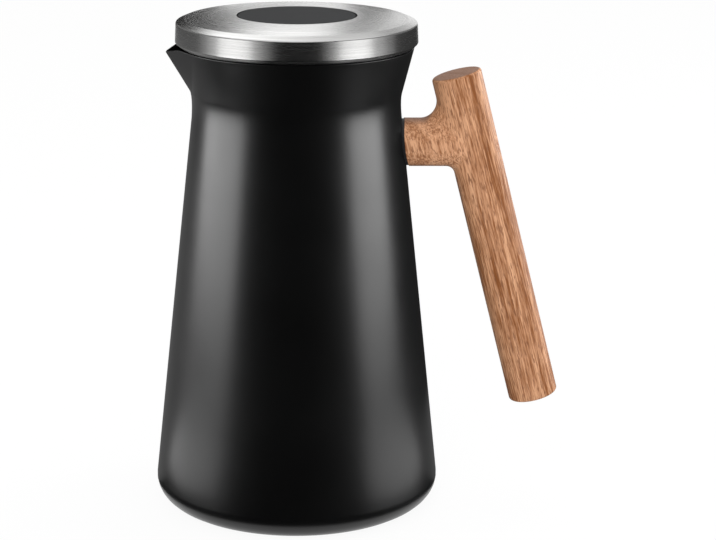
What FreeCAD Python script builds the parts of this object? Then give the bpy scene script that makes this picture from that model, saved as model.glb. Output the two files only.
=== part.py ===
import FreeCAD, Part
import math
import os

import Sketcher

# Thermal jug: a conical double-walled steel jug with a pulled spout, a lift-off stopper lid with a
# press button that opens a valve, and a one-piece wooden side handle bolted to the wall.
# Millimetres and degrees, +Z up. The origin is the middle of the foot on the standing surface.
# The spout points along -X and the handle along +X.

SIZES = (
    ("floor_radius", "70.5", "cone of the wall, radius at the standing surface"),
    ("waist_radius", "49.1", "cone of the wall, radius at the waist"),
    ("waist_height", "199.1", "waist above the standing surface"),
    ("rim_radius", "55.7", "funnel neck, radius at the rim"),
    ("funnel_height", "25.7", "funnel neck, waist to rim"),
    ("waist_lap", "1.0", "cone of the wall, run up inside the funnel's form"),
    ("shell_wall", "0.8", "outer shell, sheet thickness"),
    ("base_round", "10.8", "outer shell, rounding of the bottom edge"),
    ("foot_gap", "0.8", "outer shell, height of its underside"),
    ("foot_opening_inset", "24.5", "outer shell, hole in the underside, edge inside the wall's cone"),
    ("spout_length", "8.2", "spout tip beyond the rim circle"),
    ("spout_nose", "5.0", "spout, rounding of the tip seen from above"),
    ("spout_root_nose", "20.0", "spout, rounding of its root seen from above"),
    ("spout_root_rise", "4.0", "spout, root above the waist"),
    ("spout_root_proud", "0.5", "spout, root beyond the funnel circle"),
    ("spout_root_sink", "2.0", "funnel, lower end below the waist"),
    ("spout_dip_run", "8.8", "spout, length of lip that dips towards the tip"),
    ("spout_dip_angle", "23.2", "spout, slope of the dipping lip"),
    ("base_plate_thickness", "1.0", "base plate, sheet thickness"),
    ("base_plate_lap", "6.0", "base plate, overlap on the shell's underside"),
    ("pad_chamfer", "0.5", "base pad, bevel of the standing edge"),
    ("plug_radius", "3.0", "vacuum plug, radius in the base plate"),
    ("plug_head", "1.2", "vacuum plug, width and height of its head"),
    ("getter_radius", "6.0", "getter pill"),
    ("getter_thickness", "2.0", "getter pill"),
    ("getter_offset", "25.0", "getter pill, distance from the axis"),
    ("flask_wall", "0.6", "inner flask, sheet thickness"),
    ("vacuum_gap", "5.0", "space between shell and flask"),
    ("flask_base_height", "12.0", "inner flask, height of its underside"),
    ("flask_round", "9.0", "inner flask, rounding of the bottom edge"),
    ("neck_radius", "42.0", "inner flask, bore of the neck"),
    ("neck_length", "13.0", "inner flask, start of the neck below the waist"),
    ("shoulder_height", "10.0", "inner flask, shoulder below the neck"),
    ("flare_drop", "2.6", "inner flask, start of the flare below the waist"),
    ("flare_seam", "1.5", "inner flask, height of the seam with the shell"),
    ("grip_radius", "12.0", "handle, slanted bar"),
    ("grip_lean_angle", "14.4", "handle, lean of the bar"),
    ("grip_offset", "84.2", "handle, bar's axis from the jug's axis at the branch"),
    ("grip_upper_length", "34.3", "handle, bar above the branch"),
    ("grip_lower_length", "131.2", "handle, bar below the branch"),
    ("grip_end_round", "1.4", "handle, rounding of the bar's ends"),
    ("branch_radius", "11.6", "handle, branch to the wall"),
    ("branch_drop", "20.8", "handle, axis of the branch below the waist"),
    ("cove_round", "8.0", "handle, inner corner above the branch"),
    ("crotch_round", "4.5", "handle, inner corner below the branch"),
    ("saddle_thickness", "1.2", "handle saddle, between wall and wood"),
    ("saddle_inset", "0.4", "handle saddle, edge inside the branch's edge"),
    ("boss_width", "12.0", "handle boss, square"),
    ("boss_length", "9.0", "handle boss, out from the wall"),
    ("boss_floor", "1.5", "handle boss, closed end of the thread"),
    ("boss_gap", "0.2", "handle boss, clearance in the wood"),
    ("bolt_radius", "3.0", "handle bolt, thread"),
    ("bolt_head_radius", "5.0", "handle bolt, head"),
    ("bolt_head_height", "6.0", "handle bolt, head"),
    ("bolt_socket_radius", "2.9", "handle bolt, hexagon socket across corners, half"),
    ("bolt_socket_depth", "3.2", "handle bolt, hexagon socket"),
    ("bolt_tip_gap", "0.6", "handle bolt, tip to the end of the thread"),
    ("bolt_clearance", "0.3", "handle bolt, clearance in the wood"),
    ("bolt_seat_inset", "7.0", "handle bolt, washer's seat inside the bar's axis"),
    ("washer_thickness", "1.0", "bolt washer"),
    ("washer_rim", "0.6", "bolt washer, beyond the bolt's head"),
    ("counterbore_gap", "0.2", "bolt washer and plug, clearance in the wood"),
    ("lid_gap", "0.3", "lid, height above the rim"),
    ("lid_top_radius", "57.0", "lid cap, shoulder"),
    ("lid_band_flare", "0.4", "lid cap, widest part beyond the shoulder"),
    ("lid_band_height", "10.9", "lid cap, lower edge to shoulder"),
    ("lid_shoulder_round", "3.0", "lid cap, rounding of the shoulder"),
    ("lid_ring_width", "4.1", "lid cap, sloping ring inside the shoulder"),
    ("lid_ring_rise", "1.7", "lid cap, sloping ring inside the shoulder"),
    ("lid_bevel_height", "1.8", "lid cap, bevel of the lower edge"),
    ("lid_bevel_inset", "2.1", "lid cap, bevel of the lower edge"),
    ("lid_crown_rise", "1.5", "lid cap, sloping ring to the button's hole"),
    ("cap_wall", "0.8", "lid cap, sheet thickness"),
    ("cap_lip_depth", "2.0", "lid cap, turned-down edge of the hole"),
    ("core_wall", "2.0", "lid core, walls"),
    ("core_floor", "2.4", "lid core, floor"),
    ("stopper_length", "41.0", "stopper, lid's underside to its end"),
    ("stopper_gap", "1.6", "stopper, clearance in the neck"),
    ("stopper_wall", "2.5", "stopper, side"),
    ("stopper_floor", "3.0", "stopper, end"),
    ("flange_radius", "46.5", "stopper, flange under the lid"),
    ("flange_thickness", "2.2", "stopper, flange under the lid"),
    ("screw_circle_radius", "43.6", "lid screws, distance from the axis"),
    ("screw_count", "3", "lid screws"),
    ("screw_radius", "1.25", "lid screws, thread"),
    ("screw_length", "9.0", "lid screws, below the head"),
    ("screw_head_radius", "2.4", "lid screws, head"),
    ("screw_head_height", "1.6", "lid screws, head"),
    ("post_radius", "3.2", "lid core, screw posts"),
    ("post_height", "5.5", "lid core, screw posts"),
    ("seal_rise", "5.5", "stopper seal, groove above the stopper's end"),
    ("seal_height", "5.0", "stopper seal, groove"),
    ("seal_depth", "1.4", "stopper seal, groove"),
    ("seal_gap", "0.2", "stopper seal, clearance in the neck"),
    ("seal_lip", "1.2", "stopper seal, height of each lip"),
    ("port_sill", "22.0", "stopper, lower edge of the pour ports above its end"),
    ("port_height", "13.0", "stopper, pour ports"),
    ("port_width", "24.0", "stopper, pour ports"),
    ("port_count", "6", "stopper, pour ports"),
    ("valve_port_radius", "13.0", "stopper, hole in its end"),
    ("bush_radius", "6.4", "guide bush, in the lid core"),
    ("bush_cup_radius", "7.8", "guide bush, cup below the lid core"),
    ("bush_cup_height", "2.9", "guide bush, cup below the lid core"),
    ("bush_top", "0.8", "guide bush, above the core's floor"),
    ("bush_gap", "0.15", "guide bush, clearance round the stem"),
    ("ring_wire_radius", "1.0", "stem ring, section"),
    ("button_radius", "28.0", "press button"),
    ("button_gap", "0.4", "press button, clearance in the cap's hole"),
    ("button_sink", "0.2", "press button, below the edge of the cap's hole"),
    ("button_plate", "2.0", "press button, thickness"),
    ("button_skirt", "1.8", "press button, skirt wall"),
    ("button_skirt_depth", "4.2", "press button, skirt below the plate"),
    ("button_round", "0.6", "press button, rounding of the upper edge"),
    ("hub_wall", "2.2", "press button, socket for the stem"),
    ("hub_depth", "3.2", "press button, socket for the stem"),
    ("stem_radius", "3.0", "valve stem"),
    ("collar_radius", "4.6", "valve stem, collar above the valve disc"),
    ("collar_height", "2.0", "valve stem, collar above the valve disc"),
    ("stem_tail", "1.6", "valve stem, end below the clip"),
    ("stem_neck_radius", "2.2", "valve stem, groove for the clip"),
    ("valve_radius", "18.0", "valve disc"),
    ("valve_thickness", "3.0", "valve disc"),
    ("valve_hub_radius", "6.0", "valve disc, hub"),
    ("valve_hub_height", "4.0", "valve disc, hub above the disc"),
    ("valve_seal_thickness", "1.6", "valve seal"),
    ("valve_seal_width", "4.0", "valve seal"),
    ("clip_radius", "5.4", "stem clip"),
    ("clip_thickness", "0.8", "stem clip"),
    ("clip_mouth", "3.4", "stem clip, opening"),
    ("spring_radius", "9.0", "button spring, middle of the wire"),
    ("spring_wire_radius", "0.45", "button spring"),
    ("spring_turns_count", "4", "button spring"),
    ("snug_gap", "0.05", "clearance between fixed neighbours"),
    ("overrun", "6.0", "how far cutting tools run past the piece"),
)

doc = FreeCAD.newDocument("thermal_jug")
sheet = doc.addObject("Spreadsheet::Sheet", "sizes")
for row, (alias, number, note) in enumerate(SIZES, start=1):
    sheet.set(f"A{row}", note)
    sheet.set(f"B{row}", number)
    sheet.setAlias(f"B{row}", alias)
doc.recompute()

pieces = []


def value(expression):
    """The number that an expression on the sheet gives, in millimetres or degrees."""
    result = sheet.evalExpression(expression)
    return float(getattr(result, "Value", result))


def piece(obj, label):
    """Marks a finished object as a sub-part under its own label."""
    obj.Label = label
    pieces.append(obj)
    return obj


def bind(obj, **expressions):
    """Ties properties of an object to expressions on the sheet."""
    for name, expression in expressions.items():
        obj.setExpression(name, expression)
    return obj


def move(obj, **expressions):
    """Ties the place of an object, by axis, to expressions on the sheet."""
    for axis, expression in expressions.items():
        obj.setExpression(f"Placement.Base.{axis}", expression)
    return obj


def primitive(kind, name, **expressions):
    """A Part primitive whose properties are tied to the sheet."""
    return bind(doc.addObject(f"Part::{kind}", name), **expressions)


def lying_cylinder(name, start, radius, length):
    """A cylinder along +X on the branch's axis, from a distance out from the jug's axis."""
    rod = primitive("Cylinder", name, Radius=radius, Height=length)
    rod.Placement.Rotation = FreeCAD.Rotation(FreeCAD.Vector(0, 1, 0), 90)
    return move(rod, x=start, z=branch_height)


def tilt(obj, angle):
    """Leans an object about the Y axis, with its top towards -X, by an angle on the sheet."""
    obj.Placement.Rotation = FreeCAD.Rotation(FreeCAD.Vector(0, -1, 0), value(angle))
    return bind(obj, **{"Placement.Rotation.Angle": f"{angle} * 1 deg"})


def boolean(kind, name, base, tool):
    """A Part::Cut or Part::Common of two objects."""
    result = doc.addObject(f"Part::{kind}", name)
    result.Base = base
    result.Tool = tool
    return result


def fuse(name, *shapes):
    """A union of several objects, with split faces merged."""
    result = doc.addObject("Part::MultiFuse", name)
    result.Shapes = list(shapes)
    result.Refine = True
    return result


def origin_plane(body, role):
    """One of a body's own origin planes."""
    return next(plane for plane in body.Origin.OriginFeatures if plane.Role == role)


def new_sketch(body, name, role="XZ_Plane"):
    """A sketch on one of the body's origin planes."""
    sketch = body.newObject("Sketcher::SketchObject", name)
    sketch.AttachmentSupport = [(origin_plane(body, role), "")]
    sketch.MapMode = "FlatFace"
    return sketch


def dimension(sketch, constraint, expression):
    """Adds a constraint to a sketch and ties its value to the sheet."""
    number = sketch.addConstraint(constraint)
    sketch.setExpression(f"Constraints[{number}]", expression)


def draw_outline(sketch, corners):
    """Draws a closed outline of straight lines. Two expressions hold each corner in place."""
    points = [FreeCAD.Vector(value(across), value(up), 0) for across, up in corners]
    following = points[1:] + points[:1]
    sketch.addGeometry([Part.LineSegment(start, end) for start, end in zip(points, following)])
    count = len(points)
    joins = [Sketcher.Constraint("Coincident", line, 2, (line + 1) % count, 1) for line in range(count)]
    sketch.addConstraint(joins)
    for line, (across, up) in enumerate(corners):
        for direction, axis, expression in (("DistanceX", -2, across), ("DistanceY", -1, up)):
            if expression == "0":
                sketch.addConstraint(Sketcher.Constraint("PointOnObject", line, 1, axis))
            else:
                held = Sketcher.Constraint(direction, -1, 1, line, 1, value(expression))
                dimension(sketch, held, expression)


def turned_body(name, corners):
    """A body turned about the Z axis from an outline of radii and heights."""
    body = doc.addObject("PartDesign::Body", name)
    sketch = new_sketch(body, f"{name}_outline")
    draw_outline(sketch, corners)
    turn = body.newObject("PartDesign::Revolution", f"{name}_turn")
    turn.Profile = sketch
    turn.ReferenceAxis = (sketch, ["V_Axis"])
    turn.Angle = 360
    doc.recompute()
    return body


def round_rings(body, radius, *rings):
    """Rounds circular edges of a body, each found by its radius and height."""
    before = body.Tip
    near = value("sizes.snug_gap") / 2
    names = []
    for ring_radius, height in rings:
        for number, edge in enumerate(before.Shape.Edges, start=1):
            if not isinstance(edge.Curve, Part.Circle):
                continue
            off_radius = abs(edge.Curve.Radius - value(ring_radius))
            off_height = abs(edge.Curve.Center.z - value(height))
            if off_radius < near and off_height < near:
                names.append(f"Edge{number}")
    rounding = body.newObject("PartDesign::Fillet", f"{body.Name}_round")
    rounding.Base = (before, names)
    bind(rounding, Radius=radius)
    doc.recompute()


def cone_at(height):
    """Radius of the outer wall's cone at a height."""
    taper = "(sizes.floor_radius - sizes.waist_radius) / sizes.waist_height"
    return f"(sizes.floor_radius - {taper} * ({height}))"


def funnel_at(rise):
    """Radius of the funnel neck at a rise above the waist."""
    flare = "(sizes.rim_radius - sizes.waist_radius) / sizes.funnel_height"
    return f"(sizes.waist_radius + {flare} * ({rise}))"


def spout_section(body, name, inset, radius, reach, nose, height):
    """A level section of the funnel: a circle drawn out to a rounded tip towards -X."""
    sketch = new_sketch(body, name, "XY_Plane")
    bind(sketch, **{"AttachmentOffset.Base.z": height})
    radius = f"({radius} - {inset})"
    nose = f"({nose} - {inset})"
    spacing = f"({reach} - {inset} - {nose})"
    tip_x = -value(spacing)
    turn = math.acos((value(radius) - value(nose)) / value(spacing))
    upward = FreeCAD.Vector(0, 0, 1)
    ring = Part.Circle(FreeCAD.Vector(0, 0, 0), upward, value(radius))
    tip = Part.Circle(FreeCAD.Vector(tip_x, 0, 0), upward, value(nose))
    ring_arc = Part.ArcOfCircle(ring, turn - math.pi, math.pi - turn)
    tip_arc = Part.ArcOfCircle(tip, math.pi - turn, math.pi + turn)
    back_side = Part.LineSegment(ring_arc.EndPoint, tip_arc.StartPoint)
    front_side = Part.LineSegment(tip_arc.EndPoint, ring_arc.StartPoint)
    sketch.addGeometry([ring_arc, back_side, tip_arc, front_side])
    sketch.addConstraint([
        Sketcher.Constraint("Coincident", 0, 3, -1, 1),
        Sketcher.Constraint("PointOnObject", 2, 3, -1),
        Sketcher.Constraint("Tangent", 0, 2, 1, 1),
        Sketcher.Constraint("Tangent", 1, 2, 2, 1),
        Sketcher.Constraint("Tangent", 2, 2, 3, 1),
        Sketcher.Constraint("Tangent", 3, 2, 0, 1),
    ])
    dimension(sketch, Sketcher.Constraint("Radius", 0, value(radius)), radius)
    dimension(sketch, Sketcher.Constraint("Radius", 2, value(nose)), nose)
    dimension(sketch, Sketcher.Constraint("DistanceX", 2, 3, -1, 1, value(spacing)), spacing)
    return sketch


def add_funnel(body, inset):
    """Adds the funnel neck with its spout to a body, drawn in by an inset all round."""
    rises = ("-sizes.spout_root_sink", "sizes.spout_root_rise", "sizes.funnel_height")
    prouds = ("sizes.spout_root_proud / 2", "sizes.spout_root_proud", "sizes.spout_length")
    noses = ("sizes.spout_root_nose", "sizes.spout_root_nose", "sizes.spout_nose")
    sections = []
    for level, (rise, proud, nose) in enumerate(zip(rises, prouds, noses)):
        radius = funnel_at(rise)
        name = f"{body.Name}_section_{level}"
        height = f"sizes.waist_height + {rise}"
        sections.append(spout_section(body, name, inset, radius, f"({radius} + {proud})", nose, height))
    loft = body.newObject("PartDesign::AdditiveLoft", f"{body.Name}_funnel")
    loft.Profile = sections[0]
    loft.Sections = sections[1:]
    loft.Ruled = True
    doc.recompute()


# Levels that several pieces share
rim_height = "(sizes.waist_height + sizes.funnel_height)"
branch_height = "(sizes.waist_height - sizes.branch_drop)"
foot_top ="(sizes.foot_gap + sizes.shell_wall)"
plate_top = f"({foot_top} + sizes.base_plate_thickness)"
lid_base = f"({rim_height} + sizes.lid_gap)"
band_top = f"({lid_base} + sizes.lid_band_height)"
ring_top = f"({band_top} + sizes.lid_ring_rise)"
crown_edge = f"({ring_top} + sizes.lid_crown_rise)"
core_floor_top = f"({lid_base} + sizes.core_floor)"
stopper_end = f"({lid_base} - sizes.stopper_length)"
button_top = f"({crown_edge} - sizes.button_sink)"
plate_under = f"({button_top} - sizes.button_plate)"
valve_top = f"({stopper_end} - sizes.valve_seal_thickness)"
valve_under = f"({valve_top} - sizes.valve_thickness)"
hub_top = f"({valve_top} + sizes.valve_hub_height)"


# Outer shell: the cone with its rounded bottom, the funnel and the spout, hollowed by the same form
def shell_form(name, inset, bottom):
    """The solid form of the vessel, drawn in by an inset, from a bottom level to the rim."""
    lap_top = "(sizes.waist_height + sizes.waist_lap)"
    body = turned_body(name, [
        ("0", bottom),
        (f"{cone_at(bottom)} - {inset}", bottom),
        (f"{cone_at(lap_top)} - {inset}", lap_top),
        ("0", lap_top),
    ])
    round_rings(body, f"sizes.base_round - {inset}", (f"{cone_at(bottom)} - {inset}", bottom))
    add_funnel(body, inset)
    return body


outside = shell_form("shell_outside", "0", "sizes.foot_gap")
inside = shell_form("shell_inside", "sizes.shell_wall", foot_top)
foot_opening_radius = "(sizes.floor_radius - sizes.foot_opening_inset)"
foot_opening = primitive("Cylinder", "foot_opening", Radius=foot_opening_radius,
                         Height=f"{foot_top} + sizes.overrun")
dip_length = "(sizes.spout_length + sizes.spout_dip_run)"
dip = primitive("Box", "spout_dip", Length=dip_length, Width="2 * sizes.rim_radius",
                Height="sizes.funnel_height")
tilt(dip, "sizes.spout_dip_angle")
dip_start = "(sizes.rim_radius + sizes.spout_length - sizes.spout_dip_run)"
move(dip, x=f"-{dip_start} - {dip_length} * cos(sizes.spout_dip_angle)", y="-sizes.rim_radius",
     z=f"{rim_height} - {dip_length} * sin(sizes.spout_dip_angle)")
shell_cutters = fuse("shell_cutters", inside, foot_opening, dip)
piece(boolean("Cut", "outer_shell", outside, shell_cutters), "outer_shell")

# Base plate, its vacuum plug and the pad that the jug stands on
lap_radius = f"({foot_opening_radius} + sizes.base_plate_lap)"
piece(turned_body("base_plate", [
    ("sizes.plug_radius + sizes.snug_gap", foot_top),
    (lap_radius, foot_top),
    (lap_radius, plate_top),
    ("sizes.plug_radius + sizes.snug_gap", plate_top),
]), "base_plate")
piece(turned_body("vacuum_plug", [
    ("0", foot_top),
    ("sizes.plug_radius", foot_top),
    ("sizes.plug_radius", plate_top),
    ("sizes.plug_radius + sizes.plug_head", plate_top),
    ("sizes.plug_radius", f"{plate_top} + sizes.plug_head"),
    ("0", f"{plate_top} + sizes.plug_head"),
]), "vacuum_plug")
pad_radius = f"({foot_opening_radius} - sizes.snug_gap)"
piece(turned_body("base_pad", [
    ("0", "0"),
    (f"{pad_radius} - sizes.pad_chamfer", "0"),
    (pad_radius, "sizes.pad_chamfer"),
    (pad_radius, foot_top),
    ("0", foot_top),
]), "base_pad")

# Inner flask with its neck and flared seam, and the getter pill under its floor
flask_inset = "(sizes.shell_wall + sizes.vacuum_gap)"
flask_floor = "(sizes.flask_base_height + sizes.flask_wall)"
neck_foot = "(sizes.waist_height - sizes.neck_length)"
shoulder_foot = f"({neck_foot} - sizes.shoulder_height)"
flare_foot = "(sizes.waist_height - sizes.flare_drop)"
seam_radius = "(sizes.waist_radius - sizes.shell_wall - sizes.snug_gap)"
flask_corner = f"({cone_at('sizes.flask_base_height')} - {flask_inset})"
flask_inner_corner = f"({cone_at(flask_floor)} - {flask_inset} - sizes.flask_wall)"
flask = turned_body("inner_flask", [
    ("0", "sizes.flask_base_height"),
    (flask_corner, "sizes.flask_base_height"),
    (f"{cone_at(shoulder_foot)} - {flask_inset}", shoulder_foot),
    ("sizes.neck_radius + sizes.flask_wall", neck_foot),
    ("sizes.neck_radius + sizes.flask_wall", flare_foot),
    (seam_radius, "sizes.waist_height - sizes.flare_seam"),
    (seam_radius, "sizes.waist_height"),
    ("sizes.neck_radius", f"{flare_foot} + sizes.flask_wall"),
    ("sizes.neck_radius", neck_foot),
    (f"{cone_at(shoulder_foot)} - {flask_inset} - sizes.flask_wall", shoulder_foot),
    (flask_inner_corner, flask_floor),
    ("0", flask_floor),
])
round_rings(flask, "sizes.flask_round", (flask_corner, "sizes.flask_base_height"))
round_rings(flask, "sizes.flask_round - sizes.flask_wall", (flask_inner_corner, flask_floor))
piece(flask, "inner_flask")
getter = primitive("Cylinder", "getter_pill", Radius="sizes.getter_radius", Height="sizes.getter_thickness")
move(getter, x="-sizes.getter_offset", z="sizes.flask_base_height - sizes.getter_thickness")
piece(getter, "getter_pill")

# Handle form: bar and branch are one piece of wood. Half of it is rounded, then mirrored
wall_out = cone_at(branch_height)
bar_half = primitive("Cylinder", "bar_half", Radius="sizes.grip_radius",
                     Height="sizes.grip_upper_length + sizes.grip_lower_length")
bar_half.Angle = 180
tilt(bar_half, "sizes.grip_lean_angle")
move(bar_half, x="sizes.grip_offset + sizes.grip_lower_length * sin(sizes.grip_lean_angle)",
     z=f"{branch_height} - sizes.grip_lower_length * cos(sizes.grip_lean_angle)")
branch_half = lying_cylinder("branch_half", f"{wall_out} - sizes.overrun", "sizes.branch_radius",
                             f"sizes.grip_offset - {wall_out} + sizes.overrun")
branch_half.Angle = 180
raw_half = fuse("handle_raw_half", bar_half, branch_half)
doc.recompute()
roundings = []
for number, edge in enumerate(raw_half.Shape.Edges, start=1):
    middle = edge.valueAt((edge.FirstParameter + edge.LastParameter) / 2)
    if middle.y < value("sizes.branch_radius") / 2:
        continue
    if isinstance(edge.Curve, Part.BSplineCurve):
        lower_first = edge.valueAt(edge.FirstParameter).z < edge.valueAt(edge.LastParameter).z
        corners = (value("sizes.crotch_round"), value("sizes.cove_round"))
        roundings.append((number, *(corners if lower_first else corners[::-1])))
    elif abs(edge.Curve.Center.z - value(branch_height)) > value("sizes.branch_radius"):
        roundings.append((number, value("sizes.grip_end_round"), value("sizes.grip_end_round")))
half_form = doc.addObject("Part::Fillet", "handle_half")
half_form.Base = raw_half
half_form.Edges = roundings
other_half = doc.addObject("Part::Mirroring", "handle_other_half")
other_half.Source = half_form
other_half.Normal = FreeCAD.Vector(0, 1, 0)
handle_form = fuse("handle_form", half_form, other_half)

# What the handle is carved for: the wall and its saddle, the boss, the bolt with its washer, the plug
wall_cone = primitive("Cone", "wall_cone", Radius1="sizes.floor_radius", Radius2="sizes.waist_radius",
                      Height="sizes.waist_height")
saddle_cone = primitive("Cone", "saddle_cone", Radius1="sizes.floor_radius + sizes.saddle_thickness",
                        Radius2="sizes.waist_radius + sizes.saddle_thickness", Height="sizes.waist_height")
boss_end = f"({wall_out} + sizes.boss_length)"
seat = "(sizes.grip_offset - sizes.bolt_seat_inset)"
head_foot = f"({seat} + sizes.washer_thickness)"
head_end = f"({head_foot} + sizes.bolt_head_height)"
bolt_tip = f"({wall_out} + sizes.boss_floor + sizes.bolt_tip_gap)"
washer_radius = "(sizes.bolt_head_radius + sizes.washer_rim)"
plug_bore_radius = f"({washer_radius} + sizes.counterbore_gap)"
outer_reach = "(sizes.grip_radius + sizes.overrun)"


def boss_block(name, gap):
    """The square block of the boss, larger by a gap on each side and at its end."""
    width = f"sizes.boss_width + 2 * {gap}"
    block = primitive("Box", name, Length=f"sizes.boss_length + sizes.overrun + {gap}", Width=width,
                      Height=width)
    half_width = f"(sizes.boss_width / 2 + {gap})"
    return move(block, x=f"{wall_out} - sizes.overrun", y=f"-{half_width}",
                z=f"{branch_height} - {half_width}")


boss_pocket = boss_block("boss_pocket", "sizes.boss_gap")
bolt_hole = lying_cylinder("bolt_hole", boss_end, "sizes.bolt_radius + sizes.bolt_clearance",
                           f"{seat} - {boss_end} + sizes.washer_thickness")
counterbore = lying_cylinder("counterbore", seat, plug_bore_radius,
                             f"sizes.bolt_seat_inset + {outer_reach}")
carving = fuse("handle_carving", saddle_cone, boss_pocket, bolt_hole, counterbore)
piece(boolean("Cut", "handle_grip", handle_form, carving), "handle_grip")

# Boss welded to the wall, saddle between wall and wood
thread = lying_cylinder("boss_thread", f"{wall_out} + sizes.boss_floor",
                        "sizes.bolt_radius + sizes.snug_gap", "sizes.boss_length")
boss_cutters = fuse("boss_cutters", wall_cone, thread)
piece(boolean("Cut", "handle_boss", boss_block("boss_blank", "0"), boss_cutters), "handle_boss")
saddle_disc = lying_cylinder("saddle_disc", f"{wall_out} - sizes.overrun",
                             "sizes.branch_radius - sizes.saddle_inset", "2 * sizes.overrun")
saddle_blank = boolean("Common", "saddle_blank", saddle_disc, saddle_cone)
saddle_cutters = fuse("saddle_cutters", wall_cone, boss_pocket)
piece(boolean("Cut", "handle_saddle", saddle_blank, saddle_cutters), "handle_saddle")

# Bolt, washer and the wooden plug that closes the counterbore flush with the bar
shank = lying_cylinder("bolt_shank", bolt_tip, "sizes.bolt_radius", f"{head_end} - {bolt_tip}")
head = lying_cylinder("bolt_head", head_foot, "sizes.bolt_head_radius", "sizes.bolt_head_height")
socket = primitive("Prism", "bolt_socket", Circumradius="sizes.bolt_socket_radius",
                   Height="sizes.bolt_socket_depth + sizes.overrun")
socket.Placement.Rotation = FreeCAD.Rotation(FreeCAD.Vector(0, 1, 0), 90)
move(socket, x=f"{head_end} - sizes.bolt_socket_depth", z=branch_height)
piece(boolean("Cut", "handle_bolt", fuse("bolt_blank", shank, head), socket), "handle_bolt")
washer_disc = lying_cylinder("washer_disc", seat, washer_radius, "sizes.washer_thickness")
washer_hole = lying_cylinder("washer_hole", f"{seat} - sizes.overrun",
                             "sizes.bolt_radius + sizes.bolt_clearance", "2 * sizes.overrun")
piece(boolean("Cut", "bolt_washer", washer_disc, washer_hole), "bolt_washer")
plug_rod = lying_cylinder("plug_rod", f"{head_end} + sizes.snug_gap", f"{plug_bore_radius} - sizes.snug_gap",
                          outer_reach)
piece(boolean("Common", "bolt_plug", handle_form, plug_rod), "bolt_plug")

# Lid cap: one pressed sheet with a bevelled lower edge, a round shoulder, a low crown and a hole
hole_radius = "(sizes.button_radius + sizes.button_gap)"
bevel_top = f"({lid_base} + sizes.lid_bevel_height)"
lid_radius = "(sizes.lid_top_radius + sizes.lid_band_flare)"
bevel_radius = f"({lid_radius} - sizes.lid_bevel_inset)"
ring_radius = "(sizes.lid_top_radius - sizes.lid_ring_width)"
lip_foot = f"({crown_edge} - sizes.cap_lip_depth)"
cap_shoulder = ("sizes.lid_top_radius - sizes.cap_wall", f"{band_top} - sizes.cap_wall")
cap = turned_body("lid_cap", [
    (bevel_radius, lid_base),
    (lid_radius, bevel_top),
    ("sizes.lid_top_radius", band_top),
    (ring_radius, ring_top),
    (hole_radius, crown_edge),
    (hole_radius, lip_foot),
    (f"{hole_radius} + sizes.cap_wall", lip_foot),
    (f"{hole_radius} + sizes.cap_wall", f"{crown_edge} - sizes.cap_wall"),
    (ring_radius, f"{ring_top} - sizes.cap_wall"),
    cap_shoulder,
    (f"{lid_radius} - sizes.cap_wall", bevel_top),
    (f"{bevel_radius} - sizes.cap_wall", lid_base),
])
round_rings(cap, "sizes.lid_shoulder_round", ("sizes.lid_top_radius", band_top))
round_rings(cap, "sizes.lid_shoulder_round - sizes.cap_wall", cap_shoulder)
piece(cap, "lid_cap")

# Lid core: a hollow tray inside the cap, with the button's well in the middle and screw posts
core_inset = "(sizes.cap_wall + sizes.snug_gap)"
core_top = f"({band_top} - sizes.lid_shoulder_round)"
core = turned_body("lid_core", [
    ("sizes.bush_radius + sizes.snug_gap", lid_base),
    (f"{bevel_radius} - {core_inset}", lid_base),
    (f"{lid_radius} - {core_inset}", bevel_top),
    (f"sizes.lid_top_radius - {core_inset}", core_top),
    (f"sizes.lid_top_radius - {core_inset} - sizes.core_wall", core_top),
    (f"{lid_radius} - {core_inset} - sizes.core_wall", core_floor_top),
    (f"{hole_radius} + sizes.core_wall", core_floor_top),
    (f"{hole_radius} + sizes.core_wall", f"{lip_foot} - sizes.snug_gap"),
    (hole_radius, f"{lip_foot} - sizes.snug_gap"),
    (hole_radius, core_floor_top),
    ("sizes.bush_radius + sizes.snug_gap", core_floor_top),
])


def repeat_round(body, feature, count):
    """Repeats a feature of a body evenly round the Z axis."""
    pattern = body.newObject("PartDesign::PolarPattern", f"{feature.Name}_ring")
    pattern.Originals = [feature]
    pattern.Axis = (origin_plane(body, "Z_Axis"), [""])
    pattern.Angle = 360
    bind(pattern, Occurrences=count)
    body.Tip = pattern
    doc.recompute()


def ring_of_discs(body, feature, name, radius, depth, height):
    """Pads or pockets a disc on the screws' circle of a body, and repeats it round the axis."""
    sketch = new_sketch(body, f"{name}_outline", "XY_Plane")
    bind(sketch, **{"AttachmentOffset.Base.z": height})
    middle = FreeCAD.Vector(value("sizes.screw_circle_radius"), 0, 0)
    sketch.addGeometry(Part.Circle(middle, FreeCAD.Vector(0, 0, 1), value(radius)))
    sketch.addConstraint(Sketcher.Constraint("PointOnObject", 0, 3, -1))
    across = Sketcher.Constraint("DistanceX", -1, 1, 0, 3, middle.x)
    dimension(sketch, across, "sizes.screw_circle_radius")
    dimension(sketch, Sketcher.Constraint("Radius", 0, value(radius)), radius)
    single = body.newObject(f"PartDesign::{feature}", name)
    single.Profile = sketch
    bind(single, Length=depth)
    repeat_round(body, single, "sizes.screw_count")


flange_under = f"({lid_base} - sizes.flange_thickness)"
screw_hole_radius = "(sizes.screw_radius + sizes.snug_gap)"
ring_of_discs(core, "Pad", "core_post", "sizes.post_radius", "sizes.post_height", core_floor_top)
ring_of_discs(core, "Pocket", "core_post_bore", screw_hole_radius,
              "sizes.core_floor + sizes.post_height", f"{core_floor_top} + sizes.post_height")
piece(core, "lid_core")

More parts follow.
